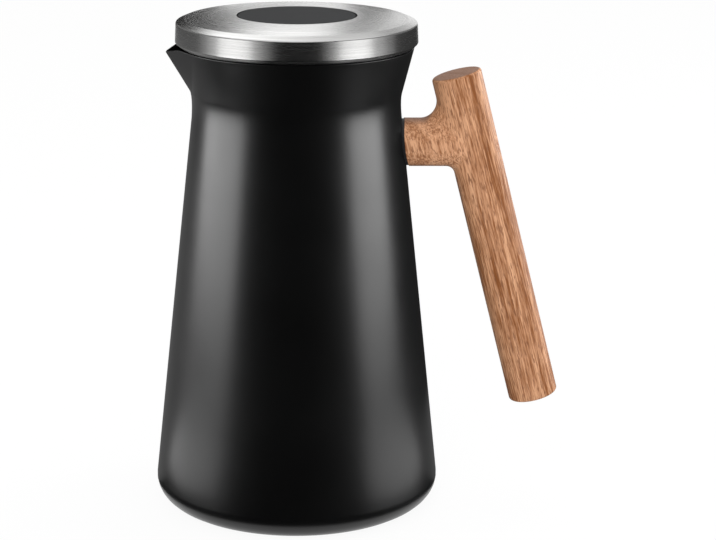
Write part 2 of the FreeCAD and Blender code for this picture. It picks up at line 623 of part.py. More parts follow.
# Stopper: a hollow plug below the lid with a seal groove, pour ports and a valve hole in its end
stopper_radius = "(sizes.neck_radius - sizes.stopper_gap)"
bore_radius = f"({stopper_radius} - sizes.stopper_wall)"
groove_radius = f"({stopper_radius} - sizes.seal_depth)"
groove_foot = f"({stopper_end} + sizes.seal_rise)"
groove_top = f"({groove_foot} + sizes.seal_height)"
stopper = turned_body("stopper_body", [
    ("sizes.valve_port_radius", stopper_end),
    (stopper_radius, stopper_end),
    (stopper_radius, groove_foot),
    (groove_radius, groove_foot),
    (groove_radius, groove_top),
    (stopper_radius, groove_top),
    (stopper_radius, flange_under),
    ("sizes.flange_radius", flange_under),
    ("sizes.flange_radius", lid_base),
    (bore_radius, lid_base),
    (bore_radius, f"{stopper_end} + sizes.stopper_floor"),
    ("sizes.valve_port_radius", f"{stopper_end} + sizes.stopper_floor"),
])
port_sketch = new_sketch(stopper, "port_outline", "YZ_Plane")
port_foot = f"{stopper_end} + sizes.port_sill"
port_top = f"{port_foot} + sizes.port_height"
draw_outline(port_sketch, [
    ("-sizes.port_width / 2", port_foot),
    ("sizes.port_width / 2", port_foot),
    ("sizes.port_width / 2", port_top),
    ("-sizes.port_width / 2", port_top),
])
port = stopper.newObject("PartDesign::Pocket", "pour_port")
port.Profile = port_sketch
bind(port, Length=f"{stopper_radius} + sizes.overrun")
repeat_round(stopper, port, "sizes.port_count")
ring_of_discs(stopper, "Pocket", "flange_hole", screw_hole_radius, "sizes.flange_thickness", lid_base)
piece(stopper, "stopper_body")

# Stopper seal: a ring in the groove with two lips against the neck
lip_radius = "(sizes.neck_radius - sizes.seal_gap)"
seal_foot = f"({groove_foot} + sizes.snug_gap)"
seal_top = f"({groove_top} - sizes.snug_gap)"
piece(turned_body("stopper_seal", [
    (f"{groove_radius} + sizes.snug_gap", seal_foot),
    (lip_radius, seal_foot),
    (lip_radius, f"{seal_foot} + sizes.seal_lip"),
    (stopper_radius, f"{seal_foot} + sizes.seal_lip"),
    (stopper_radius, f"{seal_top} - sizes.seal_lip"),
    (lip_radius, f"{seal_top} - sizes.seal_lip"),
    (lip_radius, seal_top),
    (f"{groove_radius} + sizes.snug_gap", seal_top),
]), "stopper_seal")

# Screws that hold the stopper's flange to the lid core, heads below
screw = turned_body("lid_screw", [
    ("0", f"{flange_under} - sizes.screw_head_height"),
    ("sizes.screw_head_radius", f"{flange_under} - sizes.screw_head_height"),
    ("sizes.screw_head_radius", flange_under),
    ("sizes.screw_radius", flange_under),
    ("sizes.screw_radius", f"{flange_under} + sizes.screw_length"),
    ("0", f"{flange_under} + sizes.screw_length"),
])
screws = []
for index in range(round(value("sizes.screw_count"))):
    copy = doc.addObject("Part::Feature", f"lid_screw_{index + 1}")
    copy.Shape = screw.Shape
    spin = FreeCAD.Rotation(FreeCAD.Vector(0, 0, 1), 360 / value("sizes.screw_count") * index)
    out = FreeCAD.Vector(value("sizes.screw_circle_radius"), 0, 0)
    copy.Placement = FreeCAD.Placement(spin.multVec(out), spin)
    screws.append(copy)
group = doc.addObject("Part::Compound", "lid_screws")
group.Links = screws
piece(group, "lid_screws")

# Guide bush in the core's floor, with a cup below that holds the ring round the stem
guide_radius = "(sizes.stem_radius + sizes.bush_gap)"
cup_bore = f"({guide_radius} + 2 * sizes.ring_wire_radius + sizes.snug_gap)"
cup_foot = f"({lid_base} - sizes.bush_cup_height)"
ring_foot = f"({lid_base} - 2 * sizes.ring_wire_radius - sizes.snug_gap)"
bush_end = f"({core_floor_top} + sizes.bush_top)"
piece(turned_body("guide_bush", [
    (guide_radius, cup_foot),
    ("sizes.bush_cup_radius", cup_foot),
    ("sizes.bush_cup_radius", lid_base),
    ("sizes.bush_radius", lid_base),
    ("sizes.bush_radius", bush_end),
    (guide_radius, bush_end),
    (guide_radius, lid_base),
    (cup_bore, lid_base),
    (cup_bore, ring_foot),
    (guide_radius, ring_foot),
]), "guide_bush")
stem_ring = primitive("Torus", "stem_ring", Radius1=f"{guide_radius} + sizes.ring_wire_radius",
                      Radius2="sizes.ring_wire_radius")
move(stem_ring, z=f"{ring_foot} + sizes.ring_wire_radius + sizes.snug_gap / 2")
piece(stem_ring, "stem_ring")

# Press button: a plate with a skirt, and a socket below for the stem
skirt_foot = f"({plate_under} - sizes.button_skirt_depth)"
socket_radius = "(sizes.stem_radius + sizes.snug_gap)"
socket_foot = f"({plate_under} - sizes.hub_depth)"
button = turned_body("press_button", [
    ("0", plate_under),
    (socket_radius, plate_under),
    (socket_radius, socket_foot),
    (f"{socket_radius} + sizes.hub_wall", socket_foot),
    (f"{socket_radius} + sizes.hub_wall", plate_under),
    ("sizes.button_radius - sizes.button_skirt", plate_under),
    ("sizes.button_radius - sizes.button_skirt", skirt_foot),
    ("sizes.button_radius", skirt_foot),
    ("sizes.button_radius", button_top),
    ("0", button_top),
])
round_rings(button, "sizes.button_round", ("sizes.button_radius", button_top))
piece(button, "press_button")

# Valve stem from the button's socket to the clip below the valve disc
clip_foot = f"({valve_under} - sizes.clip_thickness)"
stem_foot = f"({clip_foot} - sizes.stem_tail)"
collar_top = f"({hub_top} + sizes.collar_height)"
piece(turned_body("valve_stem", [
    ("0", stem_foot),
    ("sizes.stem_radius", stem_foot),
    ("sizes.stem_radius", clip_foot),
    ("sizes.stem_neck_radius", clip_foot),
    ("sizes.stem_neck_radius", valve_under),
    ("sizes.stem_radius", valve_under),
    ("sizes.stem_radius", hub_top),
    ("sizes.collar_radius", hub_top),
    ("sizes.collar_radius", collar_top),
    ("sizes.stem_radius", collar_top),
    ("sizes.stem_radius", plate_under),
    ("0", plate_under),
]), "valve_stem")
piece(turned_body("valve_disc", [
    (socket_radius, valve_under),
    ("sizes.valve_radius", valve_under),
    ("sizes.valve_radius", valve_top),
    ("sizes.valve_hub_radius", valve_top),
    ("sizes.valve_hub_radius", hub_top),
    (socket_radius, hub_top),
]), "valve_disc")
piece(turned_body("valve_seal", [
    ("sizes.valve_radius - sizes.valve_seal_width", valve_top),
    ("sizes.valve_radius", valve_top),
    ("sizes.valve_radius", stopper_end),
    ("sizes.valve_radius - sizes.valve_seal_width", stopper_end),
]), "valve_seal")
clip_disc = move(primitive("Cylinder", "clip_disc", Radius="sizes.clip_radius",
                           Height="sizes.clip_thickness"), z=clip_foot)
clip_bore = move(primitive("Cylinder", "clip_bore", Radius="sizes.stem_neck_radius + sizes.snug_gap",
                           Height="2 * sizes.overrun"), z=f"{clip_foot} - sizes.overrun")
clip_slot = move(primitive("Box", "clip_slot", Length="sizes.clip_radius + sizes.overrun",
                           Width="sizes.clip_mouth", Height="2 * sizes.overrun"),
                 y="-sizes.clip_mouth / 2", z=f"{clip_foot} - sizes.overrun")
piece(boolean("Cut", "stem_clip", clip_disc, fuse("clip_cutters", clip_bore, clip_slot)), "stem_clip")


# Button spring: one tube on quarter turns, each drawn as two tangent arcs
def half_arc(start, corner, end):
    """The arc from start to end that is tangent to the two legs of their corner."""
    middle = (start + end) / 2
    half_chord = (end - start).Length / 2
    lean = math.acos(half_chord / (corner - start).Length)
    crown = middle + (corner - middle) * (math.tan(lean / 2) / math.tan(lean))
    return Part.Arc(start, crown, end).toShape()


def spring_path(radius, foot, rise, turns):
    """Edges of a helix about the Z axis, from its foot up by a rise."""
    pitch = rise / turns
    slope = pitch / (2 * math.pi * radius)
    edges = []
    points = []
    for quarter in range(4 * turns):
        ends = []
        for turn in (quarter / 4, (quarter + 1) / 4):
            angle = 2 * math.pi * turn
            place = FreeCAD.Vector(radius * math.cos(angle), radius * math.sin(angle), foot + pitch * turn)
            heading = FreeCAD.Vector(-math.sin(angle), math.cos(angle), slope).normalize()
            ends.append((place, heading))
        (first, out), (last, into) = ends
        across = last - first
        total = out + into
        spread = 2 * (1 - out.dot(into))
        reach = across.dot(total)
        leg = (math.sqrt(reach ** 2 + spread * across.dot(across)) - reach) / spread
        corner = first + out * leg
        far_corner = last - into * leg
        join = (corner + far_corner) / 2
        edges.append(half_arc(first, corner, join))
        edges.append(half_arc(join, far_corner, last))
        points += [first, join]
    return edges, points + [last]


wire_radius = value("sizes.spring_wire_radius")
spring_foot = value(f"{core_floor_top} + sizes.snug_gap") + wire_radius
spring_rise = value(f"{plate_under} - sizes.snug_gap") - wire_radius - spring_foot
spring_turns = round(value("sizes.spring_turns_count"))
spring_edges, spring_points = spring_path(value("sizes.spring_radius"), spring_foot, spring_rise, spring_turns)
spring_heading = spring_edges[0].tangentAt(spring_edges[0].FirstParameter)
spring_section = Part.Wire(Part.makeCircle(wire_radius, spring_points[0], spring_heading))
spring = doc.addObject("Part::Feature", "button_spring")
spring.Shape = Part.Wire(spring_edges).makePipeShell([spring_section], True, False)
piece(spring, "button_spring")
one_turn = 8
least_gap = min((high - low).Length for low, high in zip(spring_points, spring_points[one_turn:]))
print(f"button_spring: least gap between turns {least_gap - 2 * wire_radius:.2f} mm")

# Every object is sound before anything is written
doc.recompute()
for obj in doc.Objects:
    if {"Invalid", "Error"} & set(obj.State):
        raise RuntimeError(f"{obj.Label} failed: {obj.State}")
for obj in pieces:
    if obj.Shape.isNull() or not obj.Shape.isValid():
        raise RuntimeError(f"{obj.Label} has no valid shape")
os.makedirs("parts", exist_ok=True)
for obj in pieces:
    obj.Shape.exportStep(os.path.join("parts", f"{obj.Label}.step"))
    print(f"{obj.Label}: {len(obj.Shape.Solids)} solid, {obj.Shape.Volume / 1000:.2f} cm3")
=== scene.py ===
"""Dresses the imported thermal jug: smooth meshes, procedural finishes, a plain studio and the camera."""

import functools
import logging
import math
from dataclasses import dataclass
from enum import Enum

import bmesh
import bpy
from mathutils import Matrix, Vector


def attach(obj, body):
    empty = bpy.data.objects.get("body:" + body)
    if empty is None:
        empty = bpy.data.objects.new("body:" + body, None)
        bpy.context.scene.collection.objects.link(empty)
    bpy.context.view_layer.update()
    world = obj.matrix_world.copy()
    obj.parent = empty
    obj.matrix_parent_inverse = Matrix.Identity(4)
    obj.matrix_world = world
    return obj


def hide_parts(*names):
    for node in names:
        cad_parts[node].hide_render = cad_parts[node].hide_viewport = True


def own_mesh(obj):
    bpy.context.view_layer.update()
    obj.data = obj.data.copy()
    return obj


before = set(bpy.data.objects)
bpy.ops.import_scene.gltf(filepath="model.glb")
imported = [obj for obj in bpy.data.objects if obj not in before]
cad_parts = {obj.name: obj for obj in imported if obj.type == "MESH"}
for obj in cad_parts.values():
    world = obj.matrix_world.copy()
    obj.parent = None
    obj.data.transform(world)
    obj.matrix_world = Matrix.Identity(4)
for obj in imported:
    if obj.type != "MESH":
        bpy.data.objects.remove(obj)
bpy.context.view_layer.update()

LOG = logging.getLogger("jug")
MM = 0.001
LATHE_SEGMENTS = 192
ROUND_STEPS = 8
FRAME_WIDTH_PX = 716
SENSOR_MM = 36.0
STAND_DISTANCE = 1.6
LIE_NEAR = 0.075
LIE_HEIGHT = 0.0006
SHELL = ("jug_shell",)
CAP = ("lid_top_cap",)
WOOD = ("handle_grip", "bolt_plug")
WHITE = (1.0, 1.0, 1.0, 1.0)

Colour = tuple[float, float, float]
Point = tuple[float, float, float]
Flat = tuple[float, float]
Socket = bpy.types.NodeSocket


class Body(Enum):
    """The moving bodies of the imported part."""

    VESSEL = "vessel"
    LID = "lid"
    BUTTON = "button"


class Slot(Enum):
    """The record's material slots."""

    COAT_BLACK = "coat_black"
    LID_STEEL = "lid_steel"
    PLAIN_STEEL = "plain_steel"
    GETTER_METAL = "getter_metal"
    SILICONE_DARK = "silicone_dark"
    SILICONE_CLEAR = "silicone_clear"
    BEECH = "beech"
    CORE_PLASTIC = "core_plastic"
    BUTTON_PLASTIC = "button_plastic"
    BUSH_PLASTIC = "bush_plastic"
    SPRING_STEEL = "spring_steel"


class Lay(Enum):
    """Which way the fine lines of a worked metal run."""

    RINGS = "rings"
    UPRIGHT = "upright"


class Graph:
    """The node tree of a material or a world, with short ways to add and join nodes."""

    def __init__(self, owner: bpy.types.Material | bpy.types.World) -> None:
        """Takes the owner's node tree in hand.

        Args:
            owner: a new material or world.
        """
        owner.use_nodes = True
        self.owner = owner
        self.tree = owner.node_tree

    @classmethod
    def of_material(cls, name: str) -> "Graph":
        """Starts a material with a Principled shader."""
        return cls(bpy.data.materials.new(name))

    @property
    def shader(self) -> bpy.types.Node:
        """The material's Principled shader."""
        return self.tree.nodes["Principled BSDF"]

    def feed(self, socket: Socket, value: object) -> None:
        """Links another socket to a socket, or sets its value.

        Args:
            socket: the input to fill.
            value: an output socket, a number, a colour or a vector.
        """
        if isinstance(value, Socket):
            self.tree.links.new(value, socket)
        else:
            socket.default_value = value

    def add(self, kind: str, inputs: dict | None = None, **settings: object) -> bpy.types.Node:
        """Adds a node.

        Args:
            kind: the node's type without its ShaderNode prefix.
            inputs: what goes into its sockets, by name or number.
            settings: the node's own properties.

        Returns:
            The new node.
        """
        node = self.tree.nodes.new(f"ShaderNode{kind}")
        for key, value in settings.items():
            setattr(node, key, value)
        for key, value in (inputs or {}).items():
            self.feed(node.inputs[key], value)
        return node

    def math(self, operation: str, first: object, second: object = 0.0) -> Socket:
        """Adds a Math node.

        Args:
            operation: the node's operation.
            first: its first input.
            second: its second input.

        Returns:
            The node's output.
        """
        return self.add("Math", {0: first, 1: second}, operation=operation).outputs[0]

    def hypot(self, first: object, second: object) -> Socket:
        """Length of a step that goes along two axes."""
        squares = [self.math("POWER", side, 2.0) for side in (first, second)]
        return self.math("SQRT", self.math("ADD", *squares))

    def weigh(self, *parts: tuple[Socket, float]) -> Socket:
        """Adds up values by their weights.

        Args:
            parts: each value with its weight.

        Returns:
            The sum.
        """
        scaled = [self.math("MULTIPLY", value, weight) for value, weight in parts]
        return functools.reduce(functools.partial(self.math, "ADD"), scaled)

    def place(self) -> Socket:
        """The surface point in the row frame, in metres."""
        return self.add("TexCoord").outputs["Object"]

    def drawn_out(self, place: Socket, share: float) -> Socket:
        """A place whose Z counts only by a share, so that patterns run long along Z."""
        return self.add("VectorMath", {0: place, 1: (1.0, 1.0, share)}, operation="MULTIPLY").outputs[0]

    def noise(self, place: Socket, scale: float, detail: float = 2.0,
              roughness: float = 0.5) -> Socket:
        """Adds a Noise texture.

        Args:
            place: where it is read.
            scale: cells per unit of the place.
            detail: octaves.
            roughness: weight of the finer octaves.

        Returns:
            The grey value, about 0.5 on average.
        """
        inputs = {"Vector": place, "Scale": scale, "Detail": detail, "Roughness": roughness}
        return self.add("TexNoise", inputs).outputs["Fac"]

    def between(self, value: object, low: float, high: float, to_low: float,
                to_high: float) -> Socket:
        """Maps a value from one range to another, and holds it there.

        Args:
            value: what is mapped.
            low: start of its range.
            high: end of its range.
            to_low: what the start becomes.
            to_high: what the end becomes.

        Returns:
            The mapped value.
        """
        inputs = {"Value": value, "From Min": low, "From Max": high, "To Min": to_low, "To Max": to_high}
        return self.add("MapRange", inputs).outputs["Result"]

    def blend(self, share: object, first: object, second: object) -> Socket:
        """Mixes two colours.

        Args:
            share: share of the second colour.
            first: a colour or a colour's socket.
            second: a colour or a colour's socket.

        Returns:
            The mixed colour.
        """
        node = self.add("Mix", data_type="RGBA")
        self.feed(node.inputs["Factor"], share)
        for socket, colour in ((node.inputs[6], first), (node.inputs[7], second)):
            self.feed(socket, (*colour, 1.0) if isinstance(colour, tuple) else colour)
        return node.outputs[2]

    def bump(self, height: Socket, depth: float) -> None:
        """Gives the shader a relief.

        Args:
            height: the relief from 0 to 1.
            depth: its depth in metres.
        """
        node = self.add("Bump", {"Height": height, "Distance": depth, "Strength": 1.0})
        self.feed(self.shader.inputs["Normal"], node.outputs[0])

    def dress(self, **sockets: object) -> bpy.types.Material:
        """Fills the shader's sockets, whose spaces are written as underscores.

        Args:
            sockets: socket names and what goes into them.

        Returns:
            The finished material.
        """
        for name, value in sockets.items():
            if isinstance(value, tuple) and len(value) == 3:
                value = (*value, 1.0)
            self.feed(self.shader.inputs[name.replace("_", " ")], value)
        return self.owner

    def surface(self, shader: bpy.types.Node) -> bpy.types.Material:
        """Makes another shader the material's surface, in place of the Principled one.

        Args:
            shader: the shader's node.

        Returns:
            The finished material.
        """
        self.feed(self.tree.nodes["Material Output"].inputs["Surface"], shader.outputs[0])
        return self.owner

    def shown_rays(self) -> Socket:
        """Tells the rays that show the surroundings from those that only light things.

        Returns:
            1 for rays from the camera, mirrors and glass, 0 for the rest.
        """
        path = self.add("LightPath").outputs
        seen = self.math("ADD", path["Is Camera Ray"], path["Is Glossy Ray"])
        return self.math("MINIMUM", self.math("ADD", seen, path["Is Transmission Ray"]), 1.0)


@dataclass(frozen=True)
class SatinCoat:
    """Black satin coat sprayed on steel, with a faint orange peel."""

    slot: Slot = Slot.COAT_BLACK
    dark: Colour = (0.0012, 0.0012, 0.0013)
    light: Colour = (0.0022, 0.0022, 0.0023)
    smooth: float = 0.29
    dull: float = 0.34
    specular: float = 0.5
    peel_scale: float = 420.0
    grit_scale: float = 2600.0
    peel_depth: float = 0.000012
    cloud_scale: float = 26.0
    grit_share: float = 0.35

    @functools.cache
    def material(self) -> bpy.types.Material:
        """Builds the coat: clouded colour and gloss over a fine relief.

        Returns:
            The coat's material.
        """
        graph = Graph.of_material(self.slot.value)
        place = graph.place()
        clouds = graph.noise(place, self.cloud_scale, 3.0)
        peel = graph.noise(place, self.peel_scale, 2.0)
        grit = graph.noise(place, self.grit_scale, 1.0)
        graph.bump(graph.math("ADD", peel, graph.math("MULTIPLY", grit, self.grit_share)), self.peel_depth)
        return graph.dress(
            Base_Color=graph.blend(clouds, self.dark, self.light),
            Roughness=graph.between(clouds, 0.3, 0.7, self.smooth, self.dull),
            Specular_IOR_Level=self.specular,
        )


@dataclass(frozen=True)
class WorkedSteel:
    """Steel with fine lines from brushing, turning or drawing."""

    slot: Slot = Slot.PLAIN_STEEL
    lay: Lay = Lay.RINGS
    dark: Colour = (0.46, 0.455, 0.445)
    light: Colour = (0.62, 0.615, 0.6)
    smooth: float = 0.26
    dull: float = 0.42
    anisotropy: float = 0.55
    lay_turn: float = 0.25
    line_scale: float = 1500.0
    line_depth: float = 0.000006
    wide_scale: float = 1500.0 / 9.0
    fine_share: float = 0.6
    wide_share: float = 0.4
    line_range: Flat = (0.35, 0.65)
    ring_drift: float = 0.002
    upright_share: float = 0.02

    def line_place(self, graph: Graph) -> Socket:
        """Finds where the lines are read: about the Z axis or along it.

        Args:
            graph: the metal's node tree.

        Returns:
            A place that hardly changes along a line.
        """
        place = graph.place()
        if self.lay is Lay.UPRIGHT:
            return graph.drawn_out(place, self.upright_share)
        apart = graph.add("SeparateXYZ", {0: place}).outputs
        out = graph.math("ADD", graph.hypot(apart[0], apart[1]), apart[2])
        around = graph.add("VectorMath", {0: place}, operation="NORMALIZE").outputs[0]
        turn = graph.add("SeparateXYZ", {0: around}).outputs
        drift = [graph.math("MULTIPLY", turn[axis], self.ring_drift) for axis in (0, 1)]
        return graph.add("CombineXYZ", {0: out, 1: drift[0], 2: drift[1]}).outputs[0]

    @functools.cache
    def material(self) -> bpy.types.Material:
        """Builds the metal: long thin lines in colour, gloss and relief.

        Returns:
            The metal's material.
        """
        graph = Graph.of_material(self.slot.value)
        place = self.line_place(graph)
        fine = graph.noise(place, self.line_scale, 3.0, 0.7)
        wide = graph.noise(place, self.wide_scale, 2.0)
        lines = graph.weigh((fine, self.fine_share), (wide, self.wide_share))
        graph.bump(fine, self.line_depth)
        tangent = graph.add("Tangent", direction_type="RADIAL", axis="Z").outputs[0]
        return graph.dress(
            Base_Color=graph.blend(graph.between(lines, *self.line_range, 0.0, 1.0), self.dark, self.light),
            Metallic=1.0,
            Roughness=graph.between(lines, *self.line_range, self.dull, self.smooth),
            Anisotropic=self.anisotropy,
            Anisotropic_Rotation=self.lay_turn,
            Tangent=tangent,
        )


@dataclass(frozen=True)
class Beech:
    """Oiled beech: soft growth rings, fibres and short dark ray flecks along the grain."""

    slot: Slot = Slot.BEECH
    name: str = "beech_bar"
    lean_degrees: float = 14.4
    pith: Flat = (0.028, -0.062)
    pale: Colour = (0.675, 0.36, 0.2)
    deep: Colour = (0.245, 0.078, 0.017)
    fleck: Colour = (0.22, 0.085, 0.036)
    end: Colour = (0.18, 0.088, 0.05)
    end_shade: float = 0.85
    ring_scale: float = 230.0
    fibre_scale: float = 1100.0
    fleck_scale: float = 1430.0
    warp_scale: float = 60.0
    patch_scale: float = 55.0
    warp_share: float = 0.18
    fibre_share: float = 0.06
    fleck_share: float = 0.13
    patch_share: float = 0.4
    warp_reach: float = 0.006
    ring_drift: float = 0.03
    tone_shares: Point = (0.36, 0.44, 0.2)
    tone_range: Flat = (0.42, 0.58)
    fleck_range: Flat = (0.53, 0.65)
    fleck_shade: float = 0.8
    end_range: Flat = (0.8, 0.97)
    gloss_range: Flat = (0.4, 0.6)
    dull: float = 0.6
    smooth: float = 0.47
    specular: float = 0.3
    fibre_relief_share: float = 0.6
    pore_depth: float = 0.00004

    def rings(self, graph: Graph, turned: Socket) -> Socket:
        """Draws the growth rings about a pith that lies outside the piece.

        Args:
            graph: the wood's node tree.
            turned: the place, with the grain along Z.

        Returns:
            The rings' grey value.
        """
        warp = graph.noise(graph.drawn_out(turned, self.warp_share), self.warp_scale, 2.0)
        apart = graph.add("SeparateXYZ", {0: turned}).outputs
        sides = [graph.math("SUBTRACT", apart[axis], self.pith[axis]) for axis in (0, 1)]
        out = graph.math("ADD", graph.hypot(*sides), graph.math("MULTIPLY", warp, self.warp_reach))
        drift = graph.math("MULTIPLY", apart[2], self.ring_drift)
        return graph.noise(graph.add("CombineXYZ", {0: out, 1: drift}).outputs[0], self.ring_scale, 3.0, 0.6)

    def end_grain(self, graph: Graph, lean: float) -> Socket:
        """Finds the faces that are cut across the grain.

        Args:
            graph: the wood's node tree.
            lean: the grain's lean in radians.

        Returns:
            How far a face takes the end grain's colour.
        """
        axis = (-math.sin(lean), 0.0, math.cos(lean))
        normal = graph.add("NewGeometry").outputs["Normal"]
        facing = graph.add("VectorMath", {0: normal, 1: axis}, operation="DOT_PRODUCT").outputs["Value"]
        return graph.between(graph.math("ABSOLUTE", facing), *self.end_range, 0.0, self.end_shade)

    @functools.cache
    def material(self) -> bpy.types.Material:
        """Builds the wood as a solid, so end grain and sides agree.

        Returns:
            The wood's material.
        """
        graph = Graph.of_material(self.name)
        lean = math.radians(self.lean_degrees)
        turned = graph.add("VectorRotate", {"Vector": graph.place(), "Angle": lean},
                           rotation_type="Y_AXIS").outputs[0]
        fibres = graph.noise(graph.drawn_out(turned, self.fibre_share), self.fibre_scale, 3.0, 0.65)
        flecks = graph.noise(graph.drawn_out(turned, self.fleck_share), self.fleck_scale, 2.0, 0.6)
        patches = graph.noise(graph.drawn_out(turned, self.patch_share), self.patch_scale, 2.0)
        tone = graph.weigh(*zip((self.rings(graph, turned), fibres, patches), self.tone_shares))
        body = graph.blend(graph.between(tone, *self.tone_range, 1.0, 0.0), self.pale, self.deep)
        dots = graph.between(flecks, *self.fleck_range, 0.0, self.fleck_shade)
        raised = graph.math("MULTIPLY", fibres, self.fibre_relief_share)
        graph.bump(graph.math("SUBTRACT", raised, dots), self.pore_depth)
        sides = graph.blend(dots, body, self.fleck)
        return graph.dress(
            Base_Color=graph.blend(self.end_grain(graph, lean), sides, self.end),
            Roughness=graph.between(tone, *self.gloss_range, self.dull, self.smooth),
            Specular_IOR_Level=self.specular,
        )


@dataclass(frozen=True)
class Moulded:
    """Plastic or silicone from a fine eroded mould."""

    slot: Slot
    dark: Colour
    light: Colour
    smooth: float = 0.42
    dull: float = 0.55
    grain_scale: float = 1800.0
    grain_depth: float = 0.00002
    specular: float = 0.5
    cloud_scale: float = 45.0
    gloss_range: Flat = (0.12, 0.4)

    @functools.cache
    def material(self) -> bpy.types.Material:
        """Builds the moulding: fine grain with clouded colour and gloss.

        Returns:
            The moulding's material.
        """
        graph = Graph.of_material(self.slot.value)
        place = graph.place()
        clouds = graph.noise(place, self.cloud_scale, 3.0)
        grain = graph.noise(place, self.grain_scale, 2.0)
        graph.bump(grain, self.grain_depth)
        gloss = graph.math("MULTIPLY", clouds, grain)
        return graph.dress(
            Base_Color=graph.blend(clouds, self.dark, self.light),
            Roughness=graph.between(gloss, *self.gloss_range, self.smooth, self.dull),
            Specular_IOR_Level=self.specular,
        )


@dataclass(frozen=True)
class PressedPowder:
    """Grey metal powder pressed into a pill."""

    slot: Slot = Slot.GETTER_METAL
    dark: Colour = (0.3, 0.3, 0.31)
    light: Colour = (0.48, 0.48, 0.49)
    grain_scale: float = 2200.0
    grain_depth: float = 0.00008
    metallic: float = 0.8
    roughness: float = 0.7

    @functools.cache
    def material(self) -> bpy.types.Material:
        """Builds the powder: coarse dull grains.

        Returns:
            The powder's material.
        """
        graph = Graph.of_material(self.slot.value)
        grains = graph.noise(graph.place(), self.grain_scale, 3.0, 0.7)
        graph.bump(grains, self.grain_depth)
        colour = graph.blend(grains, self.dark, self.light)
        return graph.dress(Base_Color=colour, Metallic=self.metallic, Roughness=self.roughness)


COAT = SatinCoat()
LID_STEEL = WorkedSteel(Slot.LID_STEEL, Lay.RINGS, (0.58, 0.577, 0.57), (0.7, 0.697, 0.69), 0.23, 0.29, 0.4)
PLAIN_STEEL = WorkedSteel()
SPRING_WIRE = WorkedSteel(
    Slot.SPRING_STEEL, Lay.UPRIGHT, (0.5, 0.5, 0.5), (0.66, 0.66, 0.66), 0.16, 0.26, anisotropy=0.0)
GETTER = PressedPowder()
DARK_SILICONE = Moulded(Slot.SILICONE_DARK, (0.014, 0.014, 0.015), (0.024, 0.024, 0.025), 0.5, 0.62)
CLEAR_SILICONE = Moulded(Slot.SILICONE_CLEAR, (0.55, 0.55, 0.53), (0.68, 0.68, 0.66), 0.35, 0.5)
CORE_PLASTIC = Moulded(Slot.CORE_PLASTIC, (0.012, 0.012, 0.013), (0.022, 0.022, 0.023))
BUTTON_PLASTIC = Moulded(
    Slot.BUTTON_PLASTIC, (0.026, 0.0265, 0.0275), (0.037, 0.0375, 0.0385), 0.62, 0.72, specular=0.05)
BUSH_PLASTIC = Moulded(Slot.BUSH_PLASTIC, (0.66, 0.65, 0.61), (0.76, 0.75, 0.71))
BAR_WOOD = Beech()
PLUG_WOOD = Beech(name="beech_plug", lean_degrees=52.0, pith=(0.11, 0.01), ring_scale=420.0)

Finish = SatinCoat | WorkedSteel | Beech | Moulded | PressedPowder

CARRIED_NODES: dict[str, Finish] = {
    "base_plate": PLAIN_STEEL,
    "vacuum_plug": PLAIN_STEEL,
    "inner_flask": PLAIN_STEEL,
    "getter_pill": GETTER,
    "handle_boss": PLAIN_STEEL,
    "handle_saddle": DARK_SILICONE,
    "handle_bolt": PLAIN_STEEL,
    "bolt_washer": PLAIN_STEEL,
    "bolt_plug": PLUG_WOOD,
    "handle_grip": BAR_WOOD,
    "base_pad": DARK_SILICONE,
    "lid_core": CORE_PLASTIC,
    "stopper_body": CORE_PLASTIC,
    "stopper_seal": CLEAR_SILICONE,
    "lid_screws": PLAIN_STEEL,
    "guide_bush": BUSH_PLASTIC,
    "stem_ring": DARK_SILICONE,
    "valve_stem": PLAIN_STEEL,
    "valve_disc": CORE_PLASTIC,
    "valve_seal": CLEAR_SILICONE,
    "stem_clip": SPRING_WIRE,
}


@dataclass(frozen=True)
class Corner:
    """A corner of a turned outline: radius, height and rounding, in millimetres."""

    radius: float
    height: float
    rounding: float = 0.0


def rounded(corners: list[Corner], closed: bool = True) -> list[Flat]:
    """Draws an outline with arcs in place of its rounded corners.

    Args:
        corners: the outline's corners in order.
        closed: whether the last corner joins the first.

    Returns:
        Radii and heights in millimetres.
    """
    points: list[Flat] = []
    count = len(corners)
    for index, corner in enumerate(corners):
        here = Vector((corner.radius, corner.height))
        at_end = not closed and index in (0, count - 1)
        if corner.rounding == 0.0 or at_end:
            points.append(tuple(here))
            continue
        before, after = corners[index - 1], corners[(index + 1) % count]
        back = (Vector((before.radius, before.height)) - here).normalized()
        ahead = (Vector((after.radius, after.height)) - here).normalized()
        half = back.angle(ahead) / 2
        middle = here + (back + ahead).normalized() * (corner.rounding / math.sin(half))
        first = here + back * (corner.rounding / math.tan(half)) - middle
        sweep = first.angle_signed(here + ahead * (corner.rounding / math.tan(half)) - middle)
        for step in range(ROUND_STEPS + 1):
            turn = Matrix.Rotation(-sweep * step / ROUND_STEPS, 2)
            points.append(tuple(middle + turn @ first))
    return points


